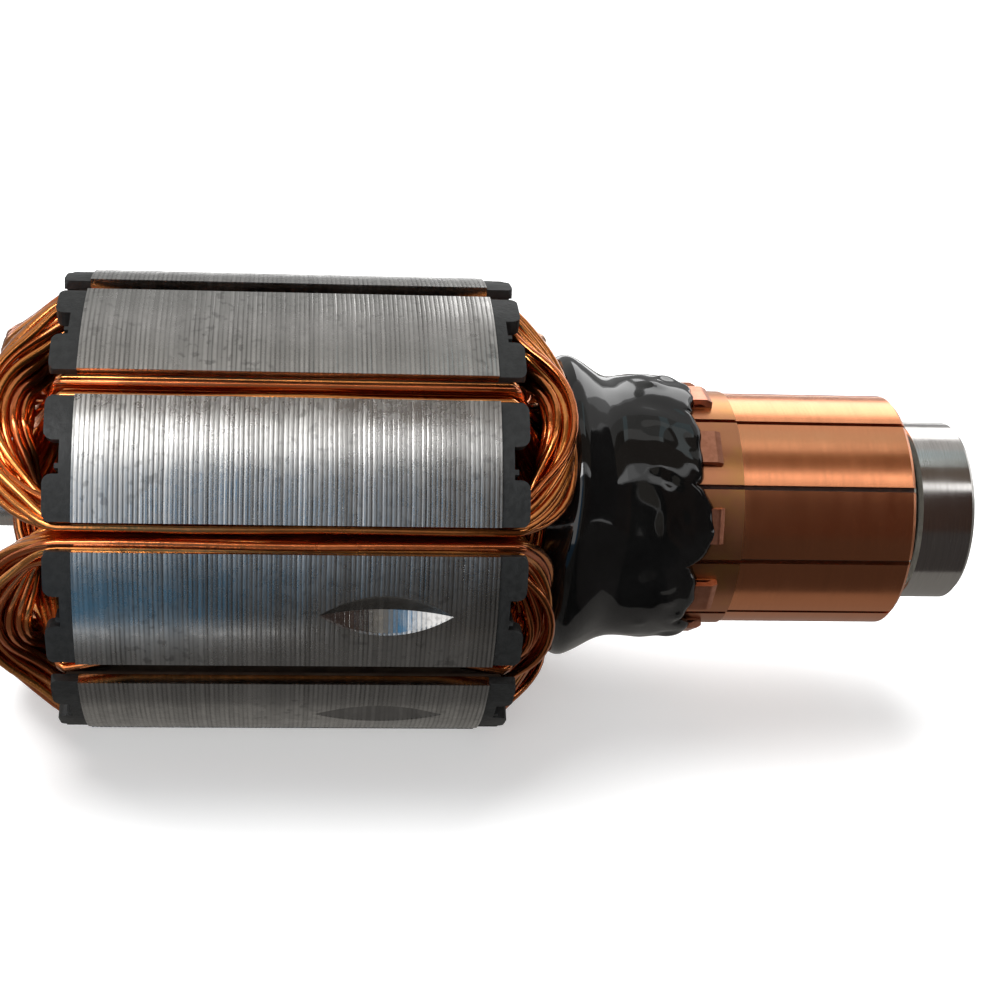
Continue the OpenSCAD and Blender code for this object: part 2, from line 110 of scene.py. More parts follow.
class WindingSettings(bpy.types.PropertyGroup):
    """Sizes and colours of the coils"""

    wire: bpy.props.FloatProperty(
        name="Wire",
        description="Diameter of the wire over its enamel",
        default=0.88 * MM,
        min=0.5 * MM,
        max=1.2 * MM,
        unit="LENGTH",
        precision=5,
    )
    stray: bpy.props.FloatProperty(
        name="Stray",
        description="How far a wire wanders from its place in the coil",
        default=0.2 * MM,
        min=0,
        max=1.0 * MM,
        unit="LENGTH",
        precision=5,
    )
    enamel: bpy.props.FloatVectorProperty(
        name="Enamel",
        description="Colour of the enamelled copper wire",
        default=(0.78, 0.25, 0.055),
        size=3,
        min=0,
        max=1,
        subtype="COLOR",
    )


class CommutatorSettings(bpy.types.PropertyGroup):
    """Colours of the commutator and the resin"""

    copper: bpy.props.FloatVectorProperty(
        name="Copper",
        description="Colour of the bars' turned brush track",
        default=(0.88, 0.34, 0.16),
        size=3,
        min=0,
        max=1,
        subtype="COLOR",
    )
    lump: bpy.props.FloatProperty(
        name="Resin lumps",
        description="Height of the lumps in the brushed-on resin",
        default=0.32 * MM,
        min=0,
        max=0.8 * MM,
        unit="LENGTH",
        precision=5,
    )
    resin: bpy.props.FloatVectorProperty(
        name="Resin",
        description="Colour of the resin over the connections",
        default=(0.0025, 0.0025, 0.0025),
        size=3,
        min=0,
        max=1,
        subtype="COLOR",
    )


SETTINGS = {
    "armature_core": CoreSettings,
    "armature_winding": WindingSettings,
    "armature_commutator": CommutatorSettings,
}


# ---------------------------------------------------------------- node helpers


class Graph:
    """Adds nodes to one node tree, and links sockets or sets their values."""

    def __init__(self, tree):
        self.tree = tree

    def node(self, kind, inputs=None, **settings):
        made = self.tree.nodes.new("ShaderNode" + kind)
        for name, value in settings.items():
            setattr(made, name, value)
        for name, value in (inputs or {}).items():
            if isinstance(value, bpy.types.NodeSocket):
                self.tree.links.new(value, made.inputs[name])
            else:
                made.inputs[name].default_value = value
        return made

    def math(self, operation, a, b=0.0):
        return self.node("Math", {0: a, 1: b}, operation=operation).outputs[0]

    def parts(self, vector):
        return self.node("SeparateXYZ", {"Vector": vector}).outputs

    def radius(self, position):
        """Distance from the shaft's axis."""
        parts = self.parts(position)
        squares = [self.math("MULTIPLY", parts[axis], parts[axis]) for axis in "YZ"]
        return self.math("SQRT", self.math("ADD", *squares))

    def noise(self, vector, scale, detail=3.0, roughness=0.5):
        inputs = {"Vector": vector, "Scale": scale, "Detail": detail, "Roughness": roughness}
        return self.node("TexNoise", inputs).outputs["Fac"]

    def scaled(self, vector, scale):
        return self.node("Mapping", {"Vector": vector, "Scale": scale}).outputs["Vector"]

    def between(self, value, low, high, to_low=0.0, to_high=1.0):
        """The value's place between low and high, as a place between to_low and to_high."""
        inputs = {"Value": value, 1: low, 2: high, 3: to_low, 4: to_high}
        return self.node("MapRange", inputs, clamp=True).outputs["Result"]

    def mix(self, factor, a, b, blend="MIX"):
        made = self.node("Mix", data_type="RGBA", blend_type=blend)
        for socket, value in ((made.inputs[0], factor), (made.inputs[6], a), (made.inputs[7], b)):
            if isinstance(value, bpy.types.NodeSocket):
                self.tree.links.new(value, socket)
            else:
                socket.default_value = value
        return made.outputs[2]

    def link(self, output, socket):
        self.tree.links.new(output, socket)


def rgba(colour, k=1.0):
    """A colour socket's value: the colour, k times as bright."""
    return (colour[0] * k, colour[1] * k, colour[2] * k, 1.0)


def node_group(name, inputs, outputs):
    """A new group with its named sockets, given as (name, socket type, default or None)."""
    tree = bpy.data.node_groups.new(name, "ShaderNodeTree")
    for label, kind, default in inputs:
        socket = tree.interface.new_socket(label, in_out="INPUT", socket_type=kind)
        if default is not None:
            socket.default_value = default
    for label, kind in outputs:
        tree.interface.new_socket(label, in_out="OUTPUT", socket_type=kind)
    given = tree.nodes.new("NodeGroupInput").outputs
    result = tree.nodes.new("NodeGroupOutput").inputs
    return Graph(tree), given, result


def sheet_edges_group():
    """Edges of stacked sheets: a groove of its own depth beside each, a tone and a slight lean."""
    if "Sheet edges" in bpy.data.node_groups:
        return bpy.data.node_groups["Sheet edges"]
    graph, given, result = node_group(
        "Sheet edges",
        [("Position", "NodeSocketVector", None), ("Thickness", "NodeSocketFloat", 0.0005)],
        [("Groove", "NodeSocketFloat"), ("Tone", "NodeSocketFloat"), ("Height", "NodeSocketFloat")],
    )
    x = graph.parts(given["Position"])["X"]
    wander = graph.between(graph.noise(given["Position"], 200.0, 2.0), 0.3, 0.7, -0.05, 0.05)
    count = graph.math("ADD", graph.math("DIVIDE", x, given["Thickness"]), wander)
    across = graph.math("SUBTRACT", graph.math("FRACT", count), 0.5)
    sheet = graph.math("FLOOR", count)
    chance = graph.node("TexWhiteNoise", {"W": sheet}, noise_dimensions="1D").outputs
    chances = graph.node("SeparateColor", {"Color": chance["Color"]}).outputs
    tone = chance["Value"]
    depth = graph.between(chances["Green"], 0, 1, 0.4, 1.0)
    groove = graph.math("MULTIPLY", graph.between(graph.math("ABSOLUTE", across), 0.2, 0.42), depth)
    graph.link(groove, result["Groove"])
    graph.link(tone, result["Tone"])
    lean = graph.math("MULTIPLY", across, graph.between(chances["Blue"], 0, 1, -1.2, 1.2))
    step = graph.math("ADD", graph.math("MULTIPLY", tone, 0.35), lean)
    graph.link(graph.math("SUBTRACT", step, groove), result["Height"])
    return graph.tree


def streaks_group():
    """Fine streaks round the shaft, as a cutting tool or a stone leaves them."""
    if "Turning streaks" in bpy.data.node_groups:
        return bpy.data.node_groups["Turning streaks"]
    graph, given, result = node_group(
        "Turning streaks",
        [("Position", "NodeSocketVector", None), ("Lines", "NodeSocketFloat", 6000.0)],
        [("Streaks", "NodeSocketFloat"), ("Broad", "NodeSocketFloat")],
    )
    squeezed = graph.scaled(given["Position"], (1.0, 0.02, 0.02))
    fine = graph.noise(squeezed, given["Lines"], 2.0)
    broad = graph.noise(graph.scaled(given["Position"], (1.0, 0.15, 0.15)), 500.0, 2.0)
    graph.link(graph.between(fine, 0.3, 0.7), result["Streaks"])
    graph.link(graph.between(broad, 0.3, 0.7), result["Broad"])
    return graph.tree


def mottle_group():
    """Blotches of handling, at a large and a small size."""
    if "Mottle" in bpy.data.node_groups:
        return bpy.data.node_groups["Mottle"]
    graph, given, result = node_group(
        "Mottle",
        [("Position", "NodeSocketVector", None), ("Scale", "NodeSocketFloat", 100.0)],
        [("Large", "NodeSocketFloat"), ("Small", "NodeSocketFloat")],
    )
    large = graph.noise(given["Position"], given["Scale"], 3.0, 0.6)
    small = graph.noise(given["Position"], graph.math("MULTIPLY", given["Scale"], 9.0), 4.0, 0.6)
    graph.link(graph.between(large, 0.35, 0.65), result["Large"])
    graph.link(graph.between(small, 0.35, 0.65), result["Small"])
    return graph.tree


def use_group(graph, tree, inputs):
    """Places a group in a material and returns its outputs."""
    made = graph.node("Group", node_tree=tree)
    for name, value in inputs.items():
        if isinstance(value, bpy.types.NodeSocket):
            graph.link(value, made.inputs[name])
        else:
            made.inputs[name].default_value = value
    return made.outputs


def new_finish(name, **sockets):
    """A material with a Principled BSDF, its constant sockets set. Returns what its nodes need."""
    finish = bpy.data.materials.new(name)
    finish.use_nodes = True
    shader = next(n for n in finish.node_tree.nodes if n.type == "BSDF_PRINCIPLED")
    for socket, value in sockets.items():
        shader.inputs[socket.replace("_", " ")].default_value = value
    graph = Graph(finish.node_tree)
    position = graph.node("TexCoord").outputs["Object"]
    return finish, graph, shader.inputs, position


def bump(graph, shader, height, distance):
    """Raises the surface by the distance, in metres, where the height is 1."""
    made = graph.node("Bump", {"Height": height, "Distance": distance, "Strength": 1.0})
    graph.link(made.outputs["Normal"], shader["Normal"])


# ---------------------------------------------------------------- finishes

# Where one node's surfaces change from one finish to the next, in metres. The first three are
# distances from the axis: of the core's ground face and its milled grooves, of the brush track and
# the raw bars behind it, and of the bars and their hooks. The last is where the hub's pale end starts
GROUND_TO_MILLED = (23.93 * MM, 23.85 * MM)
TRACK_TO_RAW = (12.38 * MM, 12.42 * MM)
BAR_TO_HOOK = (12.55 * MM, 12.65 * MM)
BROWN_TO_PALE = (64.22 * MM, 64.3 * MM)


def sheet_colour(graph, position, edges, mottle, steel, milled):
    """The sheets' own tones, stained in patches, with dark specks and dark lines between them."""
    toned = graph.mix(edges["Tone"], rgba(steel, 0.84), rgba(steel, 1.14))
    patchy = graph.mix(graph.math("MULTIPLY", mottle["Small"], 0.3), toned, rgba(steel, 0.62))
    specks = graph.math("MULTIPLY", graph.between(graph.noise(position, 1100.0, 2.0), 0.56, 0.66),
                        graph.between(mottle["Large"], 0.45, 0.9, 0.1, 0.6))
    specked = graph.mix(specks, patchy, rgba(steel, 0.4))
    lines = graph.math("MULTIPLY", edges["Groove"], graph.between(milled, 0, 1, 0.72, 0.25))
    smeared = graph.between(graph.noise(position, 130.0, 2.0), 0.4, 0.62, 1.0, 0.35)
    return graph.mix(graph.math("MULTIPLY", lines, smeared), specked, (0.07, 0.065, 0.06, 1))


def lamination_finish(settings):
    finish, graph, shader, position = new_finish("Ground lamination edges", Metallic=1.0)
    sheets = {"Position": position, "Thickness": settings.sheet}
    edges = use_group(graph, sheet_edges_group(), sheets)
    mottle = use_group(graph, mottle_group(), {"Position": position, "Scale": 90.0})
    milled = graph.between(graph.radius(position), *GROUND_TO_MILLED)
    colour = sheet_colour(graph, position, edges, mottle, settings.steel, milled)
    graph.link(colour, shader["Base Color"])
    rough = graph.math("ADD", graph.between(mottle["Large"], 0, 1, 0.21, 0.28),
                       graph.math("MULTIPLY", mottle["Small"], 0.08))
    graph.link(graph.math("SUBTRACT", rough, graph.math("MULTIPLY", milled, 0.1)), shader["Roughness"])
    height = graph.math("ADD", edges["Height"], graph.math("MULTIPLY", mottle["Small"], 0.1))
    kept = graph.between(milled, 0, 1, 1, 0.3)
    bump(graph, shader, graph.math("MULTIPLY", height, kept), 0.015 * MM)
    return finish


def insulator_finish(settings):
    finish, graph, shader, position = new_finish(
        "Black glass-filled insulator", Specular_IOR_Level=0.3
    )
    mottle = use_group(graph, mottle_group(), {"Position": position, "Scale": 160.0})
    colour = graph.mix(mottle["Small"], rgba(settings.plastic), rgba(settings.plastic, 1.6))
    graph.link(colour, shader["Base Color"])
    graph.link(graph.between(mottle["Large"], 0, 1, 0.42, 0.6), shader["Roughness"])
    bump(graph, shader, mottle["Small"], 0.02 * MM)
    return finish


def liner_finish():
    finish, graph, shader, position = new_finish("Dark slot liner film", IOR=1.5)
    mottle = use_group(graph, mottle_group(), {"Position": position, "Scale": 400.0})
    film = graph.mix(mottle["Large"], (0.02, 0.014, 0.01, 1), (0.04, 0.028, 0.02, 1))
    graph.link(film, shader["Base Color"])
    graph.link(graph.between(mottle["Small"], 0, 1, 0.4, 0.6), shader["Roughness"])
    return finish


def enamel_finish(settings):
    """Each strand has its own tone, from its "strand" attribute: from red at 0 to gold at 1."""
    finish, graph, shader, position = new_finish(
        "Enamelled copper wire", Metallic=1.0, Coat_Weight=0.5, Coat_Roughness=0.06
    )
    strand = graph.node("Attribute", attribute_name="strand").outputs["Fac"]
    mottle = use_group(graph, mottle_group(), {"Position": position, "Scale": 120.0})
    red = (settings.enamel[0] * 0.82, settings.enamel[1] * 0.62, settings.enamel[2] * 0.8, 1)
    gold = (settings.enamel[0] * 1.15, settings.enamel[1] * 1.4, settings.enamel[2] * 1.5, 1)
    toned = graph.mix(strand, red, gold)
    worn = graph.mix(graph.math("MULTIPLY", mottle["Small"], 0.3), toned, rgba(settings.enamel, 0.55))
    graph.link(worn, shader["Base Color"])
    graph.link(graph.between(mottle["Large"], 0, 1, 0.16, 0.28), shader["Roughness"])
    bump(graph, shader, mottle["Small"], 0.01 * MM)
    return finish


def copper_finish(settings):
    finish, graph, shader, position = new_finish("Turned commutator copper", Metallic=1.0)
    streaks = use_group(graph, streaks_group(), {"Position": position, "Lines": 9000.0})
    mottle = use_group(graph, mottle_group(), {"Position": position, "Scale": 130.0})
    radius = graph.radius(position)
    raw = graph.between(radius, *TRACK_TO_RAW)
    hook = graph.between(radius, *BAR_TO_HOOK)
    turned = graph.mix(streaks["Streaks"], rgba(settings.copper, 0.94), rgba(settings.copper, 1.03))
    stained = graph.between(mottle["Large"], 0.4, 0.95)
    brassy = graph.mix(stained, (0.58, 0.24, 0.12, 1), (0.62, 0.3, 0.105, 1))
    banded = graph.mix(raw, turned, brassy)
    pink = graph.mix(mottle["Small"], (0.55, 0.22, 0.13, 1), (0.68, 0.3, 0.19, 1))
    graph.link(graph.mix(hook, banded, pink), shader["Base Color"])
    smooth = graph.between(streaks["Broad"], 0, 1, 0.2, 0.26)
    graph.link(graph.math("ADD", smooth, graph.math("MULTIPLY", raw, 0.1)), shader["Roughness"])
    bump(graph, shader, streaks["Streaks"], 0.002 * MM)
    return finish


def hub_finish():
    finish, graph, shader, position = new_finish("Brown phenolic moulding, pale end", IOR=1.55)
    mottle = use_group(graph, mottle_group(), {"Position": position, "Scale": 220.0})
    brown = graph.mix(mottle["Small"], (0.02, 0.011, 0.008, 1), (0.045, 0.025, 0.018, 1))
    pale = graph.between(graph.parts(position)["X"], *BROWN_TO_PALE)
    graph.link(graph.mix(pale, brown, (0.36, 0.35, 0.3, 1)), shader["Base Color"])
    graph.link(graph.between(mottle["Large"], 0, 1, 0.45, 0.65), shader["Roughness"])
    bump(graph, shader, mottle["Small"], 0.02 * MM)
    return finish


def resin_finish(settings):
    finish, graph, shader, position = new_finish(
        "Black brushed-on resin", Specular_IOR_Level=0.0, Coat_Weight=1.0, Coat_Roughness=0.06
    )
    mottle = use_group(graph, mottle_group(), {"Position": position, "Scale": 150.0})
    black = graph.mix(mottle["Large"], rgba(settings.resin), rgba(settings.resin, 1.8))
    graph.link(black, shader["Base Color"])
    graph.link(graph.between(mottle["Large"], 0, 1, 0.15, 0.3), shader["Roughness"])
    bump(graph, shader, mottle["Large"], 0.03 * MM)
    return finish


def steel_finish(name, colour, rough, lines, depth):
    """Turned or ground steel, with so many streaks a metre of so much depth in metres."""
    finish, graph, shader, position = new_finish(name, Metallic=1.0)
    streaks = use_group(graph, streaks_group(), {"Position": position, "Lines": lines})
    mottle = use_group(graph, mottle_group(), {"Position": position, "Scale": 200.0})
    streaked = graph.mix(streaks["Streaks"], rgba(colour, 0.88), rgba(colour, 1.05))
    graph.link(streaked, shader["Base Color"])
    graph.link(graph.between(mottle["Large"], 0, 1, rough * 0.85, rough * 1.25), shader["Roughness"])
    bump(graph, shader, streaks["Streaks"], depth)
    return finish


def seal_finish():
    finish, graph, shader, position = new_finish("Black seal rubber", IOR=1.5)
    mottle = use_group(graph, mottle_group(), {"Position": position, "Scale": 500.0})
    rubber = graph.mix(mottle["Small"], (0.015, 0.015, 0.016, 1), (0.03, 0.03, 0.031, 1))
    graph.link(rubber, shader["Base Color"])
    graph.link(graph.between(mottle["Large"], 0, 1, 0.5, 0.7), shader["Roughness"])
    bump(graph, shader, mottle["Small"], 0.01 * MM)
    return finish


def dress(finish, *nodes):
    """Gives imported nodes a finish, without touching their meshes."""
    for name in nodes:
        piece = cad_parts[name]
        if not piece.material_slots:
            raise RuntimeError(f"{name} has no material slot")
        for slot in piece.material_slots:
            slot.link = "OBJECT"
            slot.material = finish


def numbered(name):
    """The names of a node that is there once for each slot."""
    return [f"{name}_{i + 1}" for i in range(SLOTS)]


# ---------------------------------------------------------------- mesh helpers


def mesh_piece(name, points, faces, finish, body="root"):
    """A smooth mesh that rides on a body, with the finish it is given."""
    data = bpy.data.meshes.new(name)
    data.from_pydata([tuple(p) for p in points], [], faces)
    data.update()
    data.shade_smooth()
    data.materials.append(finish)
    piece = bpy.data.objects.new(name, data)
    bpy.context.scene.collection.objects.link(piece)
    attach(piece, body)
    return piece


def ease(t):
    """0 to 1, flat at both ends."""
    return t * t * (3 - 2 * t)


# ---------------------------------------------------------------- coils

# Sizes of the slots, in millimetres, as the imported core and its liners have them
TOOTH_W = 5.2
SLOT_OPENING = 2.8
FLOOR_R = 12.0
CORE_R = 24.0
CORE_END = 20.0
LIP_T = 1.2
LIP_ANGLE = math.radians(18)
LINING = 0.42
# Room at a slot's middle, between the two coils that share it, and where the end turns start
MIDDLE_GAP = 0.1
TURN_START = CORE_END + 1.4


class EndTurn(NamedTuple):
    """How the strands lie where they cross outside the core, in millimetres: their reach beyond it,
    their width along the shaft, their thickness, and the columns that fill the width."""

    reach: float
    width: float
    thick: float
    columns: int


class Coil(NamedTuple):
    """One kind of coil, in millimetres. Its near end turn is the one at the commutator. Its end turns
    lie at the radius, its lowest strands at the floor, both from the axis. In a slot its strands
    stand in columns, from the slot's floor to its opening."""

    near: EndTurn
    far: EndTurn
    radius: float
    floor: float
    columns: int


OUTER = Coil(EndTurn(8.6, 3.6, 4.2, 4), EndTurn(10.3, 5.4, 3.5, 6), 17.0, 14.2, 7)
INNER = Coil(EndTurn(6.9, 5.2, 3.6, 6), EndTurn(6.9, 5.2, 3.6, 6), 11.2, FLOOR_R + LINING, 8)
# How much shorter two of the outer coils reach towards the commutator, and how much closer to the
# shaft their end turns lie
PRESSED = {1: (0.5, 1.3), 5: (1.9, 0.5)}
# How much deeper than elsewhere the strands lie in some slots
DEEP_SLOTS = {2: 1.3, 5: 1.3, 7: 0.9, 9: 0.6}
# Strands side by side across a coil's half of the slot
ROWS = 3
# Room at an end turn's edges, in wire diameters, and how unevenly its strands lie, in millimetres
EDGE_ROOM = 0.1
UNEVEN = 0.05
# A strand in a slot sways mostly across it
SWAY = [[0.4, 0.9, 0]]
TURN_STEPS = 26
STRAIGHT_STEPS = 7
WIRE_SIDES = 8
WINDING_SEED = 39


def flank(x):
    """Half the lined slot's width at the distance x from the axis."""
    return (x * math.sin(PITCH / 2) - TOOTH_W / 2 - LINING) / math.cos(PITCH / 2)


def slot_top():
    """How far from the axis the lined slot's flanks end and its opening begins."""
    slope = math.tan(LIP_ANGLE)
    wall = (TOOTH_W / 2 + LINING) / math.cos(PITCH / 2)
    lip_x = CORE_R - LIP_T - LINING / math.cos(LIP_ANGLE)
    return (lip_x + slope * (wall + SLOT_OPENING / 2)) / (1 + slope * math.tan(PITCH / 2)), lip_x


def slot_middle(coil):
    """Middle of the coil's half of the slot."""
    corner_x, lip_x = slot_top()
    corners = [[coil.floor, MIDDLE_GAP], [coil.floor, flank(coil.floor) - MIDDLE_GAP],
               [corner_x, flank(corner_x)], [lip_x - MIDDLE_GAP, MIDDLE_GAP]]
    return np.mean(corners, 0)


def slot_places(coil, wire):
    """Each strand's place in the slot: its distance from the axis and from the slot's middle."""
    corner_x, lip_x = slot_top()
    # From just off the slot's floor to partway up its opening
    low, high = coil.floor + wire * 0.55, lip_x + LIP_T * 0.4
    first = MIDDLE_GAP + wire / 2
    places = []
    for row in range(ROWS):
        across = (row + 0.5) / ROWS
        # Every second row stands further out, so that the strands nest
        stagger = 0.25 if row % 2 else -0.05
        for column in range(coil.columns):
            along = (column + 0.5 + stagger) / coil.columns
            x = low + (high - low) * min(along, 0.97)
            half = flank(min(x, corner_x)) - wire / 2
            if x > corner_x:
                share = (x - corner_x) / (lip_x - corner_x)
                half += (SLOT_OPENING / 2 - wire / 2 - half) * min(share, 1)
            places.append((x, first + max(half - first, 0.05) * across))
    return np.array(places)


def turn_places(slots, turn, wire, random):
    """The strands' places in an end turn, along its width and through its thickness: the strands
    lowest in the slot lie nearest the core."""
    places = np.zeros_like(slots)
    width, thick = turn.width - wire * EDGE_ROOM, turn.thick - wire * EDGE_ROOM
    groups = np.array_split(np.argsort(slots[:, 0], kind="stable"), turn.columns)
    for column, group in enumerate(groups):
        stagger = 0.25 if column % 2 else -0.25
        along = ((column + 0.5) / turn.columns - 0.5) * width
        for row, strand in enumerate(sorted(group, key=lambda k: slots[k, 1])):
            places[strand] = along, ((row + 0.5 + stagger) / len(group) - 0.5) * thick
    return places + random.normal(0, UNEVEN, places.shape)


def end_turn_path(turn, radius, middle, slot, place, stray, random):
    """Centre line of one strand from slot to slot outside the core. On the way the bundle turns: what
    lay along the slot's depth comes to lie along the shaft."""
    angle = np.linspace(0, math.pi, TURN_STEPS + 1)
    c, s = np.cos(angle), np.sin(angle)
    zero = np.zeros_like(s)
    blend = ease(s)
    twist = math.pi / 2 * s[:, None] ** 3
    facing = -PITCH * c
    radial = np.stack([np.cos(facing), np.sin(facing), zero], 1)
    around = np.stack([-np.sin(facing), np.cos(facing), zero], 1)
    out = np.stack([zero, zero, s], 1) - around * c[:, None]
    long = radial * np.cos(twist) + out * np.sin(twist)
    flat = radial * np.sin(twist) - out * np.cos(twist)
    depth, lean = np.linalg.norm(middle), math.atan2(middle[1], middle[0])
    r = depth + (radius - depth) * blend
    b = -(PITCH - lean) * c
    rise = CORE_END + turn.reach - turn.width / 2 - TURN_START
    centre = np.stack([r * np.cos(b), r * np.sin(b), TURN_START + rise * s], 1)
    # Each strand wanders a little from its place in its own way
    wave = stray * blend * np.sin(angle * 2 + random.uniform(0, 6.3))
    lift = stray * blend * np.sin(angle * 3 + random.uniform(0, 6.3))
    along = (slot[0] - middle[0]) * (1 - blend) + place[0] * blend + wave
    across = (slot[1] - middle[1]) * (1 - blend) + place[1] * blend + lift
    return centre + long * along[:, None] + flat * across[:, None]


def slot_path(start, end, depth, stray, random):
    """Centre line of one strand through its slot, between its end turns, sunk by the depth."""
    t = np.linspace(0, 1, STRAIGHT_STEPS + 1)[1:-1, None]
    line = start + (end - start) * t
    line[:, :2] *= 1 - depth / np.linalg.norm(start[:2])
    bow = stray * 0.7 * np.sin(math.pi * t)
    sway = bow * np.sin(t * random.uniform(6, 12) + random.uniform(0, 6.3))
    return line + sway * SWAY


def strand_path(coil, slot, places, depths, stray, random):
    """Centre line of one strand round its coil, about a middle direction of +X, with Z along the
    shaft. It has a place in each of the two end turns, and a depth in each of the two slots."""
    middle = slot_middle(coil)
    near, far = (end_turn_path(turn, coil.radius, middle, slot, place, stray, random)
                 for turn, place in zip((coil.near, coil.far), places))
    far = far * [1, -1, -1]
    out = slot_path(near[-1], far[0], depths[1], stray, random)
    back = slot_path(far[-1], near[0], depths[0], stray, random)
    return np.concatenate([near, out, far, back])


def tube(path, radius):
    """Points and faces of a closed tube along a closed path."""
    n = len(path)
    along = np.roll(path, -1, 0) - np.roll(path, 1, 0)
    along /= np.linalg.norm(along, axis=1)[:, None]
    normal = np.cross(along[0], [0.3, 0.5, 0.8])
    normals = []
    for direction in along:
        normal = normal - direction * (normal @ direction)
        normal /= np.linalg.norm(normal)
        normals.append(normal)
    normals = np.array(normals)
    side = np.cross(along, normals)
    step = FULL_TURN / WIRE_SIDES
    turn = (np.arange(WIRE_SIDES) * step)[None, :, None]
    rings = path[:, None] + radius * (np.cos(turn) * normals[:, None] + np.sin(turn) * side[:, None])
    # The last ring has turned a little against the first, so they are joined some sides on
    last = normals[-1] - along[0] * (normals[-1] @ along[0])
    slip = round(math.atan2(float(last @ side[0]), float(last @ normals[0])) / step)
    faces = []
    for i in range(n):
        here, there = i * WIRE_SIDES, (i + 1) % n * WIRE_SIDES
        skip = slip if there == 0 else 0
        for k in range(WIRE_SIDES):
            m = (k + 1) % WIRE_SIDES
            faces.append((here + k, here + m,
                          there + (m + skip) % WIRE_SIDES, there + (k + skip) % WIRE_SIDES))
    return rings.reshape(-1, 3), faces


def coil_shape(number, wire, stray):
    """Points, faces and strand tones of one coil, in millimetres about a middle direction of +X."""
    kind = OUTER if number % 2 else INNER
    shorter, closer = PRESSED.get(number, (0, 0))
    near = kind.near._replace(reach=kind.near.reach - shorter)
    coil = kind._replace(near=near, radius=kind.radius - closer)
    depths = [DEEP_SLOTS.get(slot % SLOTS, 0) for slot in (number - 1, number + 1)]
    random = np.random.default_rng(WINDING_SEED + number)
    slots = slot_places(coil, wire)
    near_places = turn_places(slots, coil.near, wire, random)
    far_places = turn_places(slots, coil.far, wire, random)
    points, faces, tones = [], [], []
    for slot, *places in zip(slots, near_places, far_places):
        path = strand_path(coil, slot, places, depths, stray, random)
        ring, quads = tube(path, wire / 2)
        first = len(points) * len(ring)
        faces += [tuple(v + first for v in quad) for quad in quads]
        points.append(ring)
        tones += [random.uniform(0, 1)] * len(ring)
    return np.concatenate(points), faces, tones


class MOTOR_OT_wind_coils(bpy.types.Operator):
    """Winds the ten coils, each from single strands of enamelled wire"""

    bl_idname = "motor.wind_coils"
    bl_label = "Wind coils"

    def execute(self, context):
        settings = context.scene.armature_winding
        finish = enamel_finish(settings)
        for number in range(1, SLOTS + 1):
            points, faces, tones = coil_shape(number, settings.wire / MM, settings.stray / MM)
            along_x = points[:, [2, 0, 1]]
            turn = np.array(Matrix.Rotation(PITCH * (number + 0.5), 3, "X"))
            name = f"wound_coil_{number}"
            piece = mesh_piece(name, along_x @ turn.T * MM, faces, finish)
            tone = piece.data.attributes.new("strand", "FLOAT", "POINT")
            tone.data.foreach_set("value", np.array(tones, np.float32))
            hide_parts(f"coil_{number}")
        return {"FINISHED"}


# ---------------------------------------------------------------- core and insulation


class MOTOR_OT_finish_core(bpy.types.Operator):
    """Finishes the laminated core, the end insulators and the slot liners"""

    bl_idname = "motor.finish_core"
    bl_label = "Finish core"

    def execute(self, context):
        settings = context.scene.armature_core
        dress(lamination_finish(settings), "core_stack")
        dress(insulator_finish(settings), "end_insulator_drive", "end_insulator_commutator")
        dress(liner_finish(), *numbered("slot_liner"))
        return {"FINISHED"}


class MOTOR_OT_finish_shaft(bpy.types.Operator):
    """Finishes the ground steel shaft"""

    bl_idname = "motor.finish_shaft"
    bl_label = "Finish shaft"

    def execute(self, context):
        ground = steel_finish("Ground shaft steel", (0.6, 0.59, 0.57), 0.28, 7000.0, 0.004 * MM)
        dress(ground, "shaft")
        return {"FINISHED"}


class MOTOR_OT_finish_commutator(bpy.types.Operator):
    """Finishes the commutator's copper bars and their moulded hub"""

    bl_idname = "motor.finish_commutator"
    bl_label = "Finish commutator"

    def execute(self, context):
        dress(copper_finish(context.scene.armature_commutator), *numbered("commutator_bar"))
        dress(hub_finish(), "commutator_hub")
        return {"FINISHED"}


class MOTOR_OT_finish_bearing(bpy.types.Operator):
    """Finishes the ball bearing's rings, balls, cage and seals"""

    bl_idname = "motor.finish_bearing"
    bl_label = "Finish bearing"

    def execute(self, context):
        ring = steel_finish("Polished bearing steel", (0.54, 0.52, 0.5), 0.16, 12000.0, 0.002 * MM)
        dress(ring, "bearing_outer_ring", "bearing_inner_ring")
        balls = steel_finish("Polished balls", (0.7, 0.69, 0.68), 0.06, 3000.0, 0.0005 * MM)
        dress(balls, "bearing_balls")
        cage = steel_finish("Pressed cage steel", (0.5, 0.48, 0.45), 0.35, 5000.0, 0.004 * MM)
        dress(cage, "bearing_cage")
        dress(seal_finish(), "bearing_seal_inboard", "bearing_seal_outboard")
        return {"FINISHED"}


# ---------------------------------------------------------------- resin

# The resin's flank: distance along the shaft and radius, in millimetres
RESIN_FLANK = [(26.6, 13.4), (28.0, 15.4), (28.9, 16.35), (30.2, 15.9), (31.8, 14.9), (33.4, 13.95),
               (34.8, 13.95), (36.5, 14.2), (38.5, 14.2), (40.0, 13.95), (43.0, 13.6)]
# The skin's hidden inside: place and radius behind the coils, then distance back from the edge over
# the hooks and radius
INSIDE_START = [(30.8, 7.7), (27.2, 9.0)]
INSIDE_END = [(0.25, 13.1), (0.6, 12.2), (3.0, 12.0)]
# The resin's radius over the connections and over the hooks, for the spread of lumps and drops
SKIN_R = 15
HOOK_R = 14
RESIN_TURN = 300
RESIN_ALONG = 72
DROPS = 90
DROP_SEED = 7
# Where the lobes over the hooks start, and how far each one runs down its bar
LOBE_ROOT = 41.0
LOBES = (0.9, 0.7, 1.4, 1.2, 2.2, 1.0, 1.9, 1.2, 0.7, 1.3)
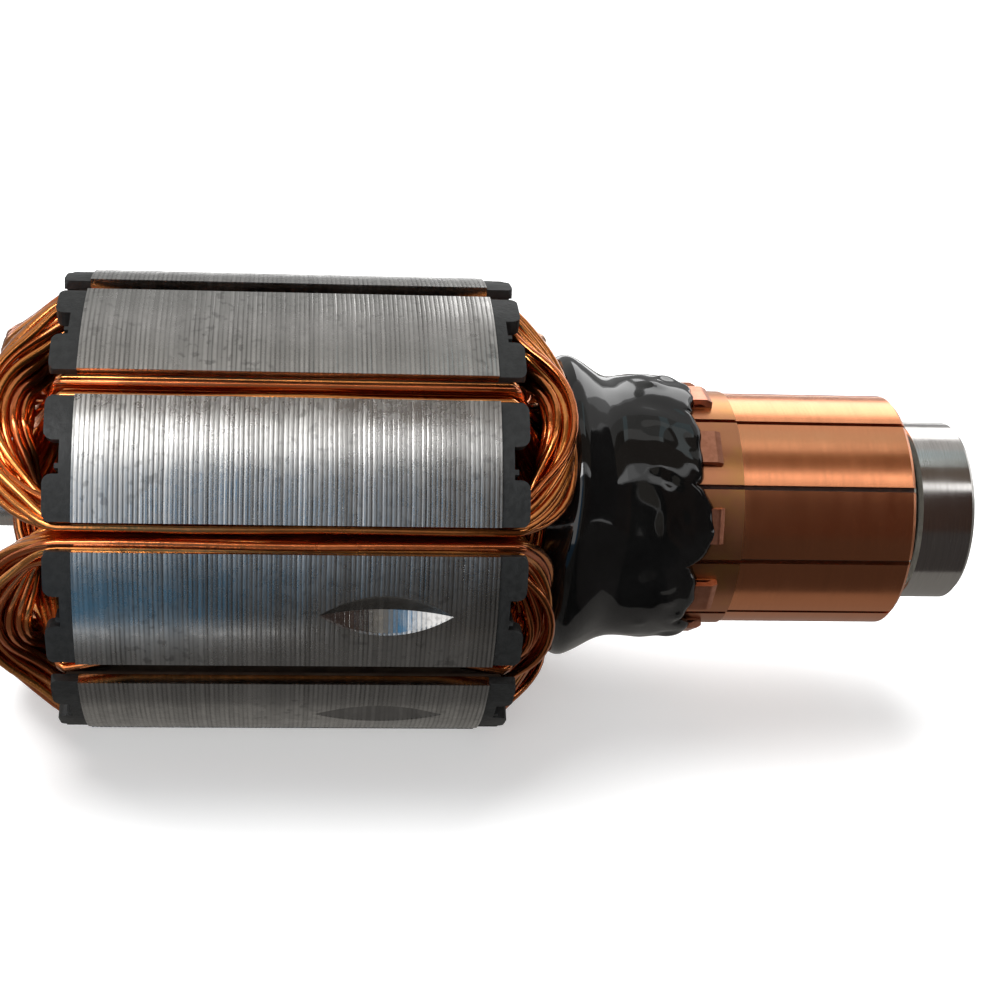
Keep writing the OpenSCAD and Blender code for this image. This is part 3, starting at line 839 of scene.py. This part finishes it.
# How far back from its edge the resin thins out, and by how much
THIN_LENGTH = 1.2
THIN_DEPTH = 0.75
# Where the coil lies that reaches least towards the resin, and how far the resin runs out to meet it
LOW_COIL = math.radians(198)
LOW_COIL_REACH = 2.0


def lumps(x, a):
    """Smooth lumps between about -1 and 1, at x along the shaft and the angle a."""
    y, z = SKIN_R * np.cos(a), SKIN_R * np.sin(a)
    broad = (np.sin(0.34 * y + 0.5 * x + 1.3) * np.sin(0.3 * z - 0.4 * x + 0.4)
             + 0.4 * np.sin(0.4 * z + 0.3 * y + 0.5 * x))
    fine = (np.sin(1.1 * y - 0.9 * x + 2.1) * np.sin(1.0 * z + 1.1 * x)
            + 0.5 * np.sin(1.5 * y + 1.3 * z + 0.8 * x + 0.8))
    near_hooks = ease(np.clip((x - 34.5) / 4, 0, 1))
    return 0.4 * broad + (0.03 + 0.12 * near_hooks) * fine


def lobe_edge(a):
    """Where the resin ends over the hooks: one round lobe down each bar, each of its own length."""
    bar = np.floor(a / PITCH).astype(int) % SLOTS
    ripple = 0.16 * np.sin(13 * a + 1) + 0.1 * np.sin(31 * a)
    return LOBE_ROOT + ripple + np.array(LOBES)[bar] * np.abs(np.sin(SLOTS / 2 * a)) ** 0.5


def drops(x, a):
    """Round drops and dimples scattered over the hooks' roots, in millimetres above the flank."""
    random = np.random.default_rng(DROP_SEED)
    height = np.zeros_like(a)
    for _ in range(DROPS):
        x0, a0, size = random.uniform(36.5, 42), random.uniform(0, FULL_TURN), random.uniform(0.5, 1.3)
        turn = (a - a0 + math.pi) % FULL_TURN - math.pi
        away = ((x - x0) ** 2 + (HOOK_R * turn) ** 2) / size**2
        height += random.uniform(-0.16, 0.3) * size * np.exp(-(away**1.3))
    return height


def flank_radius(x):
    """The flank's radius at x, with its corners rounded off."""
    xs, rs = zip(*RESIN_FLANK)
    return np.mean([np.interp(x + step, xs, rs) for step in np.linspace(-1, 1, 9)], 0)


def ring_points(x, r, a):
    """Points round the shaft at the angles a."""
    return np.stack([np.broadcast_to(x, a.shape), r * np.cos(a), r * np.sin(a)], 1)


def resin_rings(lump):
    """Rings of points round the shaft: up the inside, along the flank and in under the lobes."""
    a = np.arange(RESIN_TURN) * FULL_TURN / RESIN_TURN
    edge = lobe_edge(a)
    start = RESIN_FLANK[0][0]
    rings = [ring_points(x, r, a) for x, r in INSIDE_START]
    for t in np.linspace(0, 1, RESIN_ALONG):
        flank_x = start + (edge - start) * t
        x = flank_x - LOW_COIL_REACH * np.clip(np.cos(a - LOW_COIL), 0, 1) ** 4 * (1 - t) ** 3
        r = flank_radius(flank_x) + lump * lumps(x, a) * min(1, 4 * t) + drops(x, a)
        thin = np.clip((x - (edge - THIN_LENGTH)) / THIN_LENGTH, 0, 1)
        rings.append(ring_points(x, r - THIN_DEPTH * thin**3, a))
    return rings + [ring_points(edge - back, r, a) for back, r in INSIDE_END]


def ring_faces(rings, n):
    """Quads that join each ring of n points to the next, and the last to the first."""
    faces = []
    for i in range(rings):
        here, there = i * n, (i + 1) % rings * n
        faces += [(here + (k + 1) % n, there + (k + 1) % n, there + k, here + k) for k in range(n)]
    return faces


class MOTOR_OT_brush_resin(bpy.types.Operator):
    """Brushes the black resin over the coils' connections and the roots of the hooks"""

    bl_idname = "motor.brush_resin"
    bl_label = "Brush resin"

    def execute(self, context):
        settings = context.scene.armature_commutator
        rings = resin_rings(settings.lump / MM)
        faces = ring_faces(len(rings), RESIN_TURN)
        piece = mesh_piece("brushed_resin", np.concatenate(rings) * MM, faces,
                           resin_finish(settings))
        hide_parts("resin_collar")
        return {"FINISHED"}


# ---------------------------------------------------------------- stage


# The room as it shows in the metal: strips ROOM_R from the shaft. Each has the angles where it
# starts and ends, in degrees from the horizon behind the armature over the top to the front, its
# left and right end along the shaft's line in metres, and its colour
ROOM = [
    (-4, 14, (-0.9, 0.9), (0.35, 0.35, 0.35)),
    (14, 50, (-0.9, 0.1), (0.42, 0.42, 0.41)),
    (50, 70, (-0.9, 0.9), (0.6, 0.59, 0.58)),
    (70, 85, (-0.9, 0.21), (0.45, 0.44, 0.42)),
    (70, 85, (0.21, 0.34), (0.62, 0.78, 0.82)),
    (70, 85, (0.34, 0.9), (0.45, 0.44, 0.42)),
    (85, 96, (-0.9, 0.21), (0.8, 0.78, 0.75)),
    (85, 96, (0.21, 0.34), (0.95, 1.05, 1.05)),
    (85, 96, (0.34, 0.9), (0.12, 0.1, 0.08)),
    (96, 118, (-0.9, 0.9), (0.16, 0.125, 0.1)),
    (118, 129, (-0.9, -0.09), (12.0, 12.0, 12.0)),
    (118, 129, (-0.09, 0.1), (1.1, 1.1, 1.1)),
    (119, 127, (0.1, 0.34), (1.6, 1.6, 1.6)),
    (119, 127, (0.34, 0.9), (2.1, 2.1, 2.1)),
    (129, 184, (-0.9, -0.135), (1.6, 1.6, 1.6)),
    (129, 140, (-0.135, -0.02), (0.25, 0.42, 0.6)),
    (140, 168, (-0.135, -0.02), (0.035, 0.27, 0.56)),
    (168, 184, (-0.135, -0.036), (0.03, 0.24, 0.5)),
    (129, 168, (-0.02, 0.12), (0.27, 0.245, 0.21)),
    (168, 184, (-0.036, 0.12), (0.22, 0.19, 0.165)),
    (129, 184, (0.12, 0.21), (0.015, 0.014, 0.013)),
    (129, 184, (0.21, 0.34), (0.07, 0.042, 0.032)),
    (129, 184, (0.34, 0.9), (0.04, 0.026, 0.022)),
]
ROOM_R = 0.7

# The floor as it shows in the metal: the stretch of the shaft that each card shows beside, its
# front and back edge, all in metres, and its colour. A card is wider the further it lies from the
# shaft, by SPREAD for each metre, as the eye is about 0.165 m off
FLOOR_CARDS = [
    (-0.3, -0.0068, -0.7, -0.0515, (0.065, 0.17, 0.28)),
    (-0.0068, 0.024, -0.7, -0.0515, (0.075, 0.07, 0.065)),
    (-0.3, 0.0, -0.0515, -0.046, (0.9, 0.9, 0.9)),
    (0.0, 0.024, -0.0515, -0.046, (0.12, 0.11, 0.1)),
    (-0.3, 0.024, -0.046, -0.02, (0.12, 0.115, 0.11)),
    (0.024, 0.041, -0.7, -0.02, (0.014, 0.014, 0.014)),
    (0.041, 0.2, -0.7, -0.02, (0.06, 0.053, 0.05)),
    (-0.3, 0.2, -0.02, 0.2, (0.24, 0.23, 0.215)),
]
SPREAD = 6.06
FLOOR_CARD_LIFT = 0.2 * MM

# The ends of the room: place along the shaft and colour. They stand from the front of the room to
# a little behind the armature
END_CARDS = [(-0.9, (0.5, 0.5, 0.5)), (0.9, (0.03, 0.025, 0.025))]
END_CARD_BACK = 0.3

FLOOR_HALF = 3.0


def seen_rays(graph):
    """1 for a ray from the camera, from a mirror or through a clear body, and 0 for any other."""
    path = graph.node("LightPath").outputs
    seen = graph.math("MAXIMUM", path["Is Camera Ray"], path["Is Glossy Ray"])
    return graph.math("MAXIMUM", seen, path["Is Transmission Ray"])


def area_light(name, place, aim, size, energy, shows):
    """A soft light. One that doesn't show leaves no reflection."""
    data = bpy.data.lights.new(name, "AREA")
    data.shape = "RECTANGLE"
    data.size, data.size_y = size
    data.energy = energy
    light = bpy.data.objects.new(name, data)
    light.location = place
    light.rotation_euler = (Vector(aim) - Vector(place)).to_track_quat("-Z", "Y").to_euler()
    light.visible_glossy = shows
    bpy.context.scene.collection.objects.link(light)


def stage_piece(name, corners, finish):
    """A flat piece of the stage between four corners."""
    data = bpy.data.meshes.new(name)
    data.from_pydata(corners, [], [(0, 1, 2, 3)])
    data.materials.append(finish)
    piece = bpy.data.objects.new(name, data)
    bpy.context.scene.collection.objects.link(piece)
    piece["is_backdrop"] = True
    return piece


def card(name, corners, colour):
    """A card that only shows in reflections."""
    finish = bpy.data.materials.new(name)
    finish.use_nodes = True
    tree = finish.node_tree
    tree.nodes.clear()
    glow = tree.nodes.new("ShaderNodeEmission")
    glow.inputs["Color"].default_value = rgba(colour)
    surface = tree.nodes.new("ShaderNodeOutputMaterial").inputs["Surface"]
    tree.links.new(glow.outputs["Emission"], surface)
    piece = stage_piece(name, corners, finish)
    piece.visible_camera = piece.visible_diffuse = piece.visible_shadow = False


def on_circle(x, angle, r):
    """The point at x along the shaft and r from it, at an angle in degrees from the back horizon."""
    return (x, r * math.cos(math.radians(angle)), r * math.sin(math.radians(angle)))


def lay_floor(z):
    """A pale floor that takes shadows, with a painted glow, seen by the camera and in reflections,
    that grows lighter away from the armature.
    """
    finish, graph, shader, position = new_finish(
        "Pale floor", Base_Color=(0.85, 0.85, 0.85, 1), Emission_Color=(1, 1, 1, 1),
        Roughness=0.9, Specular_IOR_Level=0.0
    )
    away = graph.node("VectorMath", {0: position}, operation="LENGTH").outputs["Value"]
    # Painted glow: weak near the armature so that its shadow shows, stronger further out
    glow = graph.between(away, 0.2, 0.9, 0.35, 0.8)
    graph.link(graph.math("MULTIPLY", seen_rays(graph), glow), shader["Emission Strength"])
    h = FLOOR_HALF
    stage_piece("floor", [(-h, -h, z), (h, -h, z), (h, h, z), (-h, h, z)], finish)


def light_room(scene):
    """A white room that lights softly, with a softbox behind and two fills that leave no glint."""
    world = bpy.data.worlds.new("Studio")
    world.use_nodes = True
    scene.world = world
    graph = Graph(world.node_tree)
    background = next(n for n in world.node_tree.nodes if n.type == "BACKGROUND")
    background.inputs["Color"].default_value = (1, 1, 1, 1)
    strength = graph.between(seen_rays(graph), 0, 1, 0.35, 1.0)
    graph.link(strength, background.inputs["Strength"])
    origin = (0.0, 0.0, 0.0)
    area_light("Back softbox", on_circle(0.32, 32, 0.6), (0.32, 0, 0), (0.45, 0.32), 0.75, True)
    area_light("Top fill", (-0.1, 0.1, 0.6), origin, (0.6, 0.5), 6.0, False)
    area_light("Front fill", (-0.3, -0.6, 0.25), origin, (0.4, 0.4), 2.0, False)


def hang_cards(floor_z):
    """Cards round the room, at its ends and on its floor, all seen in reflections only."""
    r = ROOM_R
    for number, (start, end, (left, right), colour) in enumerate(ROOM):
        corners = [on_circle(left, start, r), on_circle(right, start, r),
                   on_circle(right, end, r), on_circle(left, end, r)]
        card(f"Reflected strip {number + 1}", corners, colour)
    for x, colour in END_CARDS:
        back = END_CARD_BACK
        corners = [(x, y, z) for y, z in ((-r, floor_z), (back, floor_z), (back, r), (-r, r))]
        card(f"End card at {x}", corners, colour)
    z = floor_z + FLOOR_CARD_LIFT
    for number, (left, right, front, back, colour) in enumerate(FLOOR_CARDS):
        wide, narrow = 1 + SPREAD * abs(front), 1 + SPREAD * abs(back)
        corners = [(left * wide, front, z), (right * wide, front, z),
                   (right * narrow, back, z), (left * narrow, back, z)]
        card(f"Floor card {number + 1}", corners, colour)


def place_camera(scene):
    """Looks down on the armature from the front, with the shaft across the view."""
    lens = bpy.data.cameras.new("Camera")
    lens.sensor_width = 36
    lens.lens = 62.2042
    lens.shift_x = 0.1
    lens.clip_start, lens.clip_end = 0.01, 20
    camera = bpy.data.objects.new("Camera", lens)
    camera.location = (-0.913 * MM, -164.816 * MM, 83.028 * MM)
    camera.rotation_euler = Euler([math.radians(v) for v in (63.39, -2.5041, -3.2475)], "XYZ")
    scene.collection.objects.link(camera)
    scene.camera = camera
    scene.view_settings.view_transform = "Standard"


class MOTOR_OT_set_stage(bpy.types.Operator):
    """Sets the floor, the lights, the reflected cards and the camera"""

    bl_idname = "motor.set_stage"
    bl_label = "Set stage"

    def execute(self, context):
        floor_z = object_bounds()[0].z
        lay_floor(floor_z)
        light_room(context.scene)
        hang_cards(floor_z)
        place_camera(context.scene)
        return {"FINISHED"}


# ---------------------------------------------------------------- panel and main


class MOTOR_PT_armature(bpy.types.Panel):
    """Lists the armature's sizes and colours, and the steps that finish it"""

    bl_label = "Motor armature"
    bl_idname = "MOTOR_PT_armature"
    bl_space_type = "VIEW_3D"
    bl_region_type = "UI"
    bl_category = "Motor armature"

    def draw(self, context):
        for name, group in SETTINGS.items():
            box = self.layout.box()
            for prop in group.__annotations__:
                box.prop(getattr(context.scene, name), prop)
        for step in STEPS:
            self.layout.operator(step.bl_idname)


STEPS = (
    MOTOR_OT_finish_core,
    MOTOR_OT_wind_coils,
    MOTOR_OT_finish_shaft,
    MOTOR_OT_finish_commutator,
    MOTOR_OT_brush_resin,
    MOTOR_OT_finish_bearing,
    MOTOR_OT_set_stage,
)


def register():
    for made in (*SETTINGS.values(), *STEPS, MOTOR_PT_armature):
        bpy.utils.register_class(made)
    for name, group in SETTINGS.items():
        setattr(bpy.types.Scene, name, bpy.props.PointerProperty(type=group))


def unregister():
    for name in SETTINGS:
        delattr(bpy.types.Scene, name)
    for made in reversed((*SETTINGS.values(), *STEPS, MOTOR_PT_armature)):
        bpy.utils.unregister_class(made)


def main():
    register()
    bpy.ops.motor.finish_core()
    bpy.ops.motor.wind_coils()
    bpy.ops.motor.finish_shaft()
    bpy.ops.motor.finish_commutator()
    bpy.ops.motor.brush_resin()
    bpy.ops.motor.finish_bearing()
    bpy.ops.motor.set_stage()


if __name__ == "__main__":
    main()
